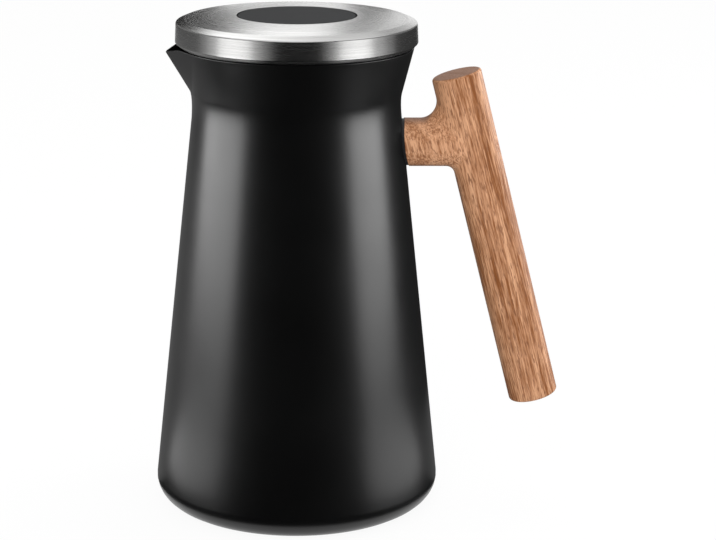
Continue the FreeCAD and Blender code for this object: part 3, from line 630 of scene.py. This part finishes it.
def new_piece(name: str, vertices: list[Point], faces: list[tuple[int, ...]], finish: Finish, body: Body,
              *nodes: str) -> bpy.types.Object:
    """Makes a smooth mesh that rides on a body in place of CAD nodes.

    Args:
        name: the piece's name.
        vertices: points in metres, in the row frame.
        faces: corners of each face.
        finish: what it is made of.
        body: what it moves with.
        nodes: the CAD nodes that it stands for.

    Returns:
        The new object.
    """
    mesh = bpy.data.meshes.new(name)
    mesh.from_pydata(vertices, [], faces)
    shaped = bmesh.new()
    shaped.from_mesh(mesh)
    bmesh.ops.recalc_face_normals(shaped, faces=shaped.faces)
    shaped.to_mesh(mesh)
    shaped.free()
    mesh.shade_smooth()
    mesh.materials.append(finish.material())
    piece = bpy.data.objects.new(name, mesh)
    bpy.context.scene.collection.objects.link(piece)
    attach(piece, body.value)
    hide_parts(*nodes)
    weighted = piece.modifiers.new("even_normals", "WEIGHTED_NORMAL")
    weighted.keep_sharp = True
    LOG.info("%s: %d points, %d faces", name, len(mesh.vertices), len(mesh.polygons))
    return piece


def ring_faces(rings: int, columns: int, closed: bool) -> list[tuple[int, ...]]:
    """Quads between rings of points that are numbered ring by ring.

    Args:
        rings: how many rings there are.
        columns: points in each ring.
        closed: whether the last ring joins the first.

    Returns:
        The corners of each quad.
    """
    faces = []
    for ring in range(rings if closed else rings - 1):
        low, high = ring * columns, (ring + 1) % rings * columns
        for column in range(columns):
            after = (column + 1) % columns
            faces.append((low + column, low + after, high + after, high + column))
    return faces


def lathe(outline: list[Flat]) -> tuple[list[Point], list[tuple[int, ...]]]:
    """Turns a closed outline about the Z axis.

    Args:
        outline: radii and heights in millimetres. Where it starts and ends on the axis, it closes there.

    Returns:
        Points in metres and faces.
    """
    on_axis = outline[0][0] == 0.0
    turned = outline[1:-1] if on_axis else outline
    vertices = []
    for radius, height in turned:
        for segment in range(LATHE_SEGMENTS):
            angle = 2 * math.pi * segment / LATHE_SEGMENTS
            vertices.append((radius * MM * math.cos(angle), radius * MM * math.sin(angle), height * MM))
    faces = ring_faces(len(turned), LATHE_SEGMENTS, not on_axis)
    if on_axis:
        last = (len(turned) - 1) * LATHE_SEGMENTS
        for pole, ring in ((outline[0], 0), (outline[-1], last)):
            vertices.append((0.0, 0.0, pole[1] * MM))
            for segment in range(LATHE_SEGMENTS):
                after = (segment + 1) % LATHE_SEGMENTS
                faces.append((len(vertices) - 1, ring + segment, ring + after))
    return vertices, faces


@dataclass
class Vessel:
    """The outer shell with its rounded foot, waist, funnel neck and pulled spout. Millimetres.

    A station gives a level section's rise above the waist, how far the spout's tip stands proud of the circle
    there, and the tip's radius.
    """

    floor_radius: float = 70.5
    waist_radius: float = 49.1
    waist_height: float = 199.1
    rim_radius: float = 55.7
    funnel_height: float = 25.7
    wall: float = 0.8
    foot_gap: float = 0.8
    foot_opening: float = 46.0
    base_round: float = 10.8
    crease_below: float = 9.0
    crease_above: float = 3.9
    crease_rows: int = 14
    dip_start: float = 55.1
    dip_degrees: float = 23.2
    lip_soft: float = 0.4
    stations: tuple[Point, ...] = ((-2.0, 0.25, 20.0), (4.0, 0.5, 20.0), (25.7, 8.2, 5.0))
    ring_columns: int = 240
    side_columns: int = 14
    tip_columns: int = 20
    cone_rows: int = 24
    funnel_rows: int = 8
    lip_rows: int = 6

    def cone_at(self, height: float) -> float:
        """Radius of the outer cone at a height."""
        return self.floor_radius - (self.floor_radius - self.waist_radius) * height / self.waist_height

    def station(self, index: int, inset: float) -> list[Flat]:
        """Draws one level section of the funnel: a circle drawn out to a rounded tip.

        Args:
            index: which of the stations.
            inset: how far it is drawn in all round.

        Returns:
            Points of the section, column by column.
        """
        rise, proud, nose = self.stations[index]
        flare = (self.rim_radius - self.waist_radius) / self.funnel_height
        full = self.waist_radius + flare * rise
        spacing = full + proud - nose
        turn = math.acos((full - nose) / spacing)
        radius, tip = full - inset, nose - inset
        ring_start, ring_sweep = turn - math.pi, 2 * (math.pi - turn)
        points = []
        for column in range(self.ring_columns):
            angle = ring_start + ring_sweep * column / self.ring_columns
            points.append((radius * math.cos(angle), radius * math.sin(angle)))
        for side in (1, -1):
            ring_end = Vector((-radius * math.cos(turn), side * radius * math.sin(turn)))
            tip_end = Vector((-spacing - tip * math.cos(turn), side * tip * math.sin(turn)))
            start, end = (ring_end, tip_end) if side > 0 else (tip_end, ring_end)
            steps = range(self.side_columns)
            points += [tuple(start.lerp(end, step / self.side_columns)) for step in steps]
            if side > 0:
                for column in range(self.tip_columns):
                    angle = math.pi - turn + 2 * turn * column / self.tip_columns
                    points.append((-spacing + tip * math.cos(angle), tip * math.sin(angle)))
        return points

    def section(self, index: int, share: float, inset: float) -> list[Point]:
        """Points between a station and the next.

        Args:
            index: the lower station.
            share: how far to the next one.
            inset: how far they are drawn in.

        Returns:
            Points in millimetres.
        """
        low, high = self.stations[index][0], self.stations[index + 1][0]
        height = self.waist_height + low + (high - low) * share
        pairs = zip(self.station(index, inset), self.station(index + 1, inset))
        return [(a[0] + (b[0] - a[0]) * share, a[1] + (b[1] - a[1]) * share, height) for a, b in pairs]

    def wall_rings(self, inset: float) -> list[list[Point]]:
        """The funnel's wall from the root of the spout to its lip, which dips towards the tip.

        Args:
            inset: 0 for the outer side, the wall for the inner side.

        Returns:
            Rings of points, from the root up.
        """
        root, rim = self.section(1, 0.0, inset), self.section(1, 1.0, inset)
        slope = math.tan(math.radians(self.dip_degrees))
        reaches = []
        for low, high in zip(root, rim):
            over = high[2] - low[2] - slope * (high[0] - low[0])
            room = high[2] - low[2] - slope * (-self.dip_start - low[0])
            reach = min(1.0, room / over) if high[0] < -self.dip_start else 1.0
            reaches.append(reach - self.lip_soft / (high[2] - low[2]))
        rings = []
        for row in range(self.funnel_rows + 1):
            share = row / self.funnel_rows
            rings.append([tuple(Vector(low).lerp(Vector(high), reach * share))
                          for low, high, reach in zip(root, rim, reaches)])
        return rings

    def lip_rings(self, outer: list[Point], inner: list[Point]) -> list[list[Point]]:
        """Half-round edge of the sheet between the two sides of the lip.

        Args:
            outer: highest ring of the outer side.
            inner: highest ring of the inner side.

        Returns:
            Rings from the outer side to the inner side.
        """
        rings = []
        for row in range(1, self.lip_rows):
            angle = math.pi * row / self.lip_rows
            raised = Vector((0.0, 0.0, self.lip_soft * math.sin(angle)))
            ring = []
            for first, last in zip(outer, inner):
                middle = (Vector(first) + Vector(last)) / 2
                away = (Vector(first) - Vector(last)) / 2
                ring.append(tuple(middle + away * math.cos(angle) + raised))
            rings.append(ring)
        return rings

    def cone_rings(self, inset: float, bottom: float) -> list[list[Point]]:
        """The cone and its rounded foot, from the foot's opening up to the crease of the waist.

        Args:
            inset: 0 for the outer side, the wall for the inner side.
            bottom: height of the foot's face on that side.

        Returns:
            Rings of points, from the foot up.
        """
        top = self.waist_height - self.crease_below
        outline = rounded([
            Corner(self.foot_opening, bottom),
            Corner(self.cone_at(bottom) - inset, bottom, self.base_round - inset),
            Corner(self.cone_at(top) - inset, top),
        ], closed=False)
        start, end = outline[-2], outline[-1]
        for row in range(1, self.cone_rows):
            share = row / self.cone_rows
            outline.insert(-1, tuple(Vector(start).lerp(Vector(end), share)))
        angles = [math.atan2(y, x) for x, y, _ in self.section(0, 1.0, inset)]
        rings = []
        for radius, height in outline:
            rings.append([(radius * math.cos(angle), radius * math.sin(angle), height) for angle in angles])
        return rings

    def waist_rings(self, below: list[Point], inset: float) -> list[list[Point]]:
        """The soft bend between the cone and the funnel.

        Args:
            below: highest ring of the cone.
            inset: 0 for the outer side, the wall for the inner side.

        Returns:
            Rings of points, from the cone up.
        """
        low, high = self.stations[0][0], self.stations[1][0]
        corner = self.section(0, -low / (high - low), inset)
        above = self.section(0, (self.crease_above - low) / (high - low), inset)
        rings = []
        for row in range(1, self.crease_rows + 1):
            share = row / self.crease_rows
            ring = []
            for first, middle, last in zip(below, corner, above):
                start = Vector(first).lerp(Vector(middle), share)
                ring.append(tuple(start.lerp(Vector(middle).lerp(Vector(last), share), share)))
            rings.append(ring)
        return rings

    def build(self) -> bpy.types.Object:
        """Builds the shell as one closed sheet, coated outside and bare inside.

        Returns:
            The shell.
        """
        sides = []
        for inset, bottom in ((0.0, self.foot_gap), (self.wall, self.foot_gap + self.wall)):
            rings = self.cone_rings(inset, bottom)
            rings += self.waist_rings(rings[-1], inset)
            sides.append(rings + self.wall_rings(inset))
        outer, inner = sides
        rings = outer + self.lip_rings(outer[-1], inner[-1]) + inner[::-1]
        columns = len(rings[0])
        vertices = [tuple(c * MM for c in point) for ring in rings for point in ring]
        faces = ring_faces(len(rings), columns, closed=True)
        shell = new_piece("jug_shell", vertices, faces, COAT, Body.VESSEL, "outer_shell")
        shell.data.materials.append(PLAIN_STEEL.material())
        bare_from = (len(outer) + self.lip_rows) * columns
        for face in shell.data.polygons:
            if min(face.vertices) >= bare_from:
                face.material_index = 1
        return shell


@dataclass
class LidTop:
    """The pressed steel cap and the button in its middle. Millimetres."""

    base: float = 225.1
    radius: float = 57.4
    shoulder_radius: float = 57.0
    bevel_inset: float = 2.1
    bevel_height: float = 1.8
    band_height: float = 10.9
    shoulder_round: float = 3.0
    shoulder_soft: float = 1.0
    edge_round: float = 0.25
    inner_edge_round: float = 0.2
    bevel_round: float = 0.7
    ring_round: float = 2.0
    hole_round: float = 0.35
    ring_width: float = 4.1
    ring_rise: float = 1.7
    crown_rise: float = 1.5
    crown_bulge: float = 0.24
    crown_rows: int = 14
    wall: float = 0.8
    hole_radius: float = 28.4
    lip_depth: float = 2.0
    button_radius: float = 28.0
    button_sink: float = 0.2
    button_plate: float = 2.0
    button_skirt: float = 1.8
    button_skirt_depth: float = 4.2
    button_round: float = 0.6
    skirt_round: float = 0.3
    socket_radius: float = 3.05
    socket_wall: float = 2.2
    socket_depth: float = 3.2

    @property
    def crown_edge(self) -> float:
        """Height of the crown at the button's hole."""
        return self.base + self.band_height + self.ring_rise + self.crown_rise

    def crown(self) -> list[Corner]:
        """The slightly domed ring between the shoulder and the button's hole.

        Returns:
            Corners from the shoulder in.
        """
        start = self.shoulder_radius - self.ring_width
        foot = self.crown_edge - self.crown_rise
        corners = []
        for row in range(1, self.crown_rows):
            share = row / self.crown_rows
            bulge = 4 * self.crown_bulge * share * (1 - share)
            radius = start + (self.hole_radius - start) * share
            corners.append(Corner(radius, foot + self.crown_rise * share + bulge))
        return corners

    def cap(self) -> bpy.types.Object:
        """Builds the cap as one sheet with a bevelled lower edge and a turned-down hole.

        Returns:
            The cap.
        """
        bevel = self.base + self.bevel_height
        band = self.base + self.band_height
        ring = self.shoulder_radius - self.ring_width
        edge = self.crown_edge
        lip = edge - self.lip_depth
        outline = rounded([
            Corner(self.radius - self.bevel_inset, self.base, self.edge_round),
            Corner(self.radius, bevel, self.bevel_round),
            Corner(self.shoulder_radius, band, self.shoulder_soft),
            Corner(ring, band + self.ring_rise, self.ring_round),
            *self.crown(),
            Corner(self.hole_radius, edge, self.hole_round),
            Corner(self.hole_radius, lip),
            Corner(self.hole_radius + self.wall, lip),
            Corner(self.hole_radius + self.wall, edge - self.wall),
            Corner(ring, band + self.ring_rise - self.wall),
            Corner(self.shoulder_radius - self.wall, band - self.wall, self.shoulder_round - self.wall),
            Corner(self.radius - self.wall, bevel),
            Corner(self.radius - self.bevel_inset - self.wall, self.base, self.inner_edge_round),
        ])
        return new_piece("lid_top_cap", *lathe(outline), LID_STEEL, Body.LID, "lid_cap")

    def button(self) -> bpy.types.Object:
        """Builds the button with its skirt and the socket for the stem.

        Returns:
            The button.
        """
        top = self.crown_edge - self.button_sink
        under = top - self.button_plate
        socket_foot = under - self.socket_depth
        socket_outside = self.socket_radius + self.socket_wall
        skirt_foot = under - self.button_skirt_depth
        skirt_inside = self.button_radius - self.button_skirt
        outline = rounded([
            Corner(0.0, under),
            Corner(self.socket_radius, under),
            Corner(self.socket_radius, socket_foot),
            Corner(socket_outside, socket_foot, self.skirt_round),
            Corner(socket_outside, under),
            Corner(skirt_inside, under),
            Corner(skirt_inside, skirt_foot),
            Corner(self.button_radius, skirt_foot, self.skirt_round),
            Corner(self.button_radius, top, self.button_round),
            Corner(self.button_radius / 2, top),
            Corner(0.0, top),
        ], closed=False)
        return new_piece("lid_button", *lathe(outline), BUTTON_PLASTIC, Body.BUTTON, "press_button")


@dataclass
class ButtonSpring:
    """The coil that lifts the button, built at its free length; the real coil is pressed flat as the button
    goes down. Millimetres.
    """

    radius: float = 9.0
    wire_radius: float = 0.45
    turns: int = 4
    foot: float = 228.0
    rise: float = 8.5
    turn_rings: int = 40
    wire_columns: int = 12
    pressed_share: float = 0.52

    def ring(self, step: int) -> list[Point]:
        """Points round the wire at one step along the coil.

        Args:
            step: how many steps from the coil's foot.

        Returns:
            Points in metres.
        """
        angle = 2 * math.pi * step / self.turn_rings
        outward = Vector((math.cos(angle), math.sin(angle), 0.0))
        pitch = self.rise / self.turns
        slope = pitch / (2 * math.pi * self.radius)
        along = Vector((-math.sin(angle), math.cos(angle), slope)).normalized()
        upward = outward.cross(along)
        middle = outward * self.radius + Vector((0.0, 0.0, self.foot + pitch * step / self.turn_rings))
        points = []
        for column in range(self.wire_columns):
            turn = 2 * math.pi * column / self.wire_columns
            point = middle + (outward * math.cos(turn) + upward * math.sin(turn)) * self.wire_radius
            points.append(tuple(point * MM))
        return points

    def build(self) -> bpy.types.Object:
        """Builds the coil as one tube with closed ends.

        Returns:
            The coil.
        """
        rings = [self.ring(step) for step in range(self.turns * self.turn_rings + 1)]
        vertices = [point for ring in rings for point in ring]
        faces = ring_faces(len(rings), self.wire_columns, closed=False)
        faces.append(tuple(range(self.wire_columns)))
        faces.append(tuple(range(len(vertices) - self.wire_columns, len(vertices))))
        coil = new_piece("lid_spring", vertices, faces, SPRING_WIRE, Body.LID, "button_spring")
        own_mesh(coil)
        return coil


@dataclass
class CarriedPieces:
    """CAD nodes that keep their shape and get a finish."""

    finishes: dict[str, Finish]

    def dress(self) -> None:
        """Puts each node's finish into its material slots."""
        for name, finish in self.finishes.items():
            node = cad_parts[name]
            node.data.materials.clear()
            node.data.materials.append(finish.material())
            LOG.info("%s: finish %s", name, finish.slot.value)


@dataclass(frozen=True)
class Softbox:
    """A soft oval lamp that faces a point on the jug. Metres, degrees and radiance."""

    name: str
    azimuth: float
    distance: float
    height: float
    width: float
    tall: float
    radiance: float
    only_for: tuple[str, ...] = ()
    aim: Point = (0.0, 0.0, 0.12)

    def build(self) -> bpy.types.Object:
        """Sets up the lamp; azimuth 0 is the camera's side and 90 the handle's side.

        Returns:
            The lamp. One for chosen pieces is seen in their gloss, the others only shed light.
        """
        lamp = bpy.data.lights.new(self.name, "AREA")
        lamp.shape = "ELLIPSE"
        lamp.size = self.width
        lamp.size_y = self.tall
        area = math.pi / 4 * self.width * self.tall
        lamp.energy = self.radiance * math.pi * area
        holder = bpy.data.objects.new(self.name, lamp)
        turn = math.radians(self.azimuth)
        holder.location = (self.distance * math.sin(turn), -self.distance * math.cos(turn), self.height)
        holder.rotation_euler = (Vector(self.aim) - holder.location).to_track_quat("-Z", "Y").to_euler()
        bpy.context.scene.collection.objects.link(holder)
        holder.visible_glossy = bool(self.only_for)
        if self.only_for:
            lit = bpy.data.collections.new(f"lit_by_{self.name}")
            for name in self.only_for:
                lit.objects.link(bpy.data.objects[name])
            holder.light_linking.receiver_collection = lit
        return holder


@dataclass(frozen=True)
class Flag:
    """A curved card round the set, or a sector of cloth on the floor, that only reflections see.

    Degrees, metres and radiance. A standing card goes from a low to a high edge at one distance, and a lying
    cloth from a near to a far edge at one height.
    """

    name: str
    start: float
    end: float
    tone: float
    near: float
    far: float
    low: float
    high: float
    steps: int = 24

    def build(self) -> bpy.types.Object:
        """Builds the card on an arc about the jug; azimuth 0 is the camera's side.

        Returns:
            The card.
        """
        vertices = []
        for step in range(self.steps + 1):
            turn = math.radians(self.start + (self.end - self.start) * step / self.steps)
            for reach, height in ((self.near, self.low), (self.far, self.high)):
                vertices.append((reach * math.sin(turn), -reach * math.cos(turn), height))
        faces = [(2 * s, 2 * s + 2, 2 * s + 3, 2 * s + 1) for s in range(self.steps)]
        mesh = bpy.data.meshes.new(self.name)
        mesh.from_pydata(vertices, [], faces)
        graph = Graph.of_material(self.name)
        glow = graph.add("Emission", {"Color": (self.tone, self.tone, self.tone, 1.0), "Strength": 1.0})
        mesh.materials.append(graph.surface(glow))
        card = bpy.data.objects.new(self.name, mesh)
        card.visible_camera = False
        card.visible_diffuse = False
        card.visible_shadow = False
        card.visible_transmission = False
        bpy.context.scene.collection.objects.link(card)
        return card


def standing(name: str, start: float, end: float, low: float, high: float, tone: float) -> Flag:
    """A flag that stands on an arc, a good way out."""
    return Flag(name, start, end, tone, STAND_DISTANCE, STAND_DISTANCE, low, high)


def lying(name: str, start: float, end: float, tone: float, far: float = STAND_DISTANCE,
          near: float = LIE_NEAR) -> Flag:
    """A flag that lies on the floor, from the jug's foot outwards."""
    return Flag(name, start, end, tone, near, far, LIE_HEIGHT, LIE_HEIGHT)


@dataclass
class Studio:
    """White floor and surroundings, soft lamps and dark cards. Metres."""

    floor_half: float = 6.0
    floor_dark: Colour = (0.9, 0.9, 0.9)
    floor_light: Colour = (0.93, 0.93, 0.93)
    floor_cloud_scale: float = 3.0
    floor_glow_share: float = 0.93
    world_fill: float = 0.8
    lamps: tuple[Softbox, ...] = (
        Softbox("front_box", -10.0, 1.5, 1.0, 0.9, 0.9, 5.6),
        Softbox("side_box", 115.0, 1.3, 0.7, 0.7, 0.7, 4.2),
        Softbox("top_box", 150.0, 0.5, 1.3, 1.0, 1.0, 1.6),
        Softbox("grip_box", 122.0, 0.9, 0.25, 0.5, 0.8, 5.0, WOOD),
        Softbox("body_left_box", -85.0, 0.9, 0.2, 0.96, 0.8, 6.2, SHELL),
        Softbox("body_right_box", 78.0, 0.9, 0.2, 0.76, 0.8, 6.6, SHELL),
        Softbox("foot_left_box", -80.0, 0.2, 0.004, 0.18, 0.18, 1.8, SHELL, (-0.197, -0.035, 1.0)),
        Softbox("foot_right_box", 74.0, 0.2, 0.004, 0.18, 0.18, 1.8, SHELL, (0.192, -0.055, 1.0)),
        Softbox("lid_left_box", -58.5, 0.8, 0.15, 0.52, 0.5, 0.78, CAP),
        Softbox("lid_right_box", 55.5, 0.8, 0.15, 0.5, 0.5, 0.78, CAP),
        Softbox("lid_left_fill", -60.0, 0.8, 0.15, 0.9, 0.5, 0.27, CAP),
        Softbox("lid_right_fill", 60.0, 0.8, 0.15, 0.9, 0.5, 0.25, CAP),
        Softbox("lid_left_wash", -60.5, 0.8, 0.15, 1.3, 0.5, 0.24, CAP),
        Softbox("lid_right_wash", 63.0, 0.8, 0.15, 1.3, 0.5, 0.24, CAP),
        Softbox("lid_left_rim", -58.0, 0.35, 0.03, 0.3, 0.3, 1.2, CAP, (0.0, 0.0, 0.23)),
        Softbox("lid_right_rim", 57.0, 0.35, 0.03, 0.3, 0.3, 1.2, CAP, (0.0, 0.0, 0.23)),
        Softbox("lid_front_box", 0.0, 0.8, 0.75, 1.3, 0.42, 0.75, CAP),
    )
    flags: tuple[Flag, ...] = (
        lying("front_cloth", -42.0, 42.0, 0.0),
        lying("left_cloth", -98.0, -42.0, 0.0),
        lying("near_left_cloth", -180.0, -98.0, 0.25, 0.2),
        lying("back_left_cloth", -180.0, -98.0, 0.24, STAND_DISTANCE, 0.2),
        lying("right_cloth", 42.0, 98.0, 0.0),
        lying("near_right_cloth", 98.0, 180.0, 0.2, 0.2),
        lying("back_right_cloth", 98.0, 180.0, 0.03, STAND_DISTANCE, 0.2),
        standing("front_card", -46.0, 46.0, 0.0, 2.0, 0.0),
        standing("left_card", -160.0, -46.0, 0.0, 0.3, 0.04),
        standing("left_upper_card", -160.0, -46.0, 0.3, 1.5, 0.2),
        standing("right_card", 46.0, 160.0, 0.0, 0.3, 0.05),
        standing("right_upper_card", 46.0, 160.0, 0.3, 1.6, 0.2),
        standing("back_left_card", -176.0, -160.0, 0.1, 1.15, 0.0),
        standing("back_middle_card", -180.0, -176.0, 0.4, 0.56, 0.1),
        standing("back_right_card", 175.0, 177.5, 0.1, 0.9, 0.02),
        standing("left_reflector", -176.0, -150.0, 1.16, 2.6, 1.7),
        standing("back_reflector", 177.5, 184.0, 0.66, 2.4, 1.5),
        standing("side_reflector", 150.0, 175.0, 0.66, 2.4, 0.8),
    )

    def floor(self) -> bpy.types.Object:
        """Lays the pale floor, which keeps the jug's shadow.

        Returns:
            The floor.
        """
        half = self.floor_half
        corners = [(-half, -half, 0.0), (half, -half, 0.0), (half, half, 0.0), (-half, half, 0.0)]
        mesh = bpy.data.meshes.new("floor")
        mesh.from_pydata(corners, [], [(0, 1, 2, 3)])
        graph = Graph.of_material("floor_white")
        cloud = graph.noise(graph.place(), self.floor_cloud_scale, 2.0)
        matt = graph.add("BsdfDiffuse", {"Color": graph.blend(cloud, self.floor_dark, self.floor_light)})
        glow = graph.add("Emission", {"Color": WHITE, "Strength": 1.0})
        share = graph.math("MULTIPLY", graph.shown_rays(), self.floor_glow_share)
        mixed = graph.add("MixShader", {0: share, 1: matt.outputs[0], 2: glow.outputs[0]})
        mesh.materials.append(graph.surface(mixed))
        floor = bpy.data.objects.new("floor", mesh)
        bpy.context.scene.collection.objects.link(floor)
        return floor

    def surroundings(self) -> None:
        """White for what is seen, a softer fill for what is lit."""
        world = bpy.data.worlds.new("white_room")
        bpy.context.scene.world = world
        graph = Graph(world)
        background = graph.tree.nodes["Background"].inputs
        graph.feed(background["Color"], WHITE)
        graph.feed(background["Strength"], graph.between(graph.shown_rays(), 0.0, 1.0, self.world_fill, 1.0))

    def build(self) -> None:
        """Sets up floor, surroundings, lamps and cards."""
        bpy.context.scene.view_settings.view_transform = "Standard"
        self.surroundings()
        self.floor()
        for thing in (*self.lamps, *self.flags):
            thing.build()
        for name in WOOD:
            bpy.data.objects[name].visible_glossy = False
        LOG.info("studio: %d lamps, %d flags", len(self.lamps), len(self.flags))


@dataclass(frozen=True)
class PhotoCamera:
    """The camera at the photograph's angle. Metres, degrees and pixels."""

    place: Point = (0.00187, -1.0125, 0.39532)
    yaw: float = 1.5742
    pitch: float = 15.4923
    roll: float = 0.424
    focal_px: float = 2161.6
    clip_start: float = 0.01

    def build(self) -> bpy.types.Object:
        """Sets up the camera and makes it the scene's own.

        Returns:
            The camera.
        """
        data = bpy.data.cameras.new("photo_camera")
        data.sensor_width = SENSOR_MM
        data.lens = self.focal_px / FRAME_WIDTH_PX * SENSOR_MM
        data.clip_start = self.clip_start
        camera = bpy.data.objects.new("photo_camera", data)
        yaw, pitch, roll = (math.radians(angle) for angle in (self.yaw, self.pitch, self.roll))
        turn = Matrix.Rotation(-yaw, 4, "Z") @ Matrix.Rotation(math.pi / 2 - pitch, 4, "X")
        camera.matrix_world = Matrix.Translation(self.place) @ turn @ Matrix.Rotation(roll, 4, "Z")
        bpy.context.scene.collection.objects.link(camera)
        bpy.context.scene.camera = camera
        return camera


def main() -> None:
    """Builds the jug's visible pieces, dresses the rest and sets up studio and camera."""
    logging.basicConfig(level=logging.INFO, format="%(message)s")
    Vessel().build()
    lid = LidTop()
    lid.cap()
    lid.button()
    ButtonSpring().build()
    CarriedPieces(CARRIED_NODES).dress()
    Studio().build()
    PhotoCamera().build()


if __name__ == "__main__":
    main()
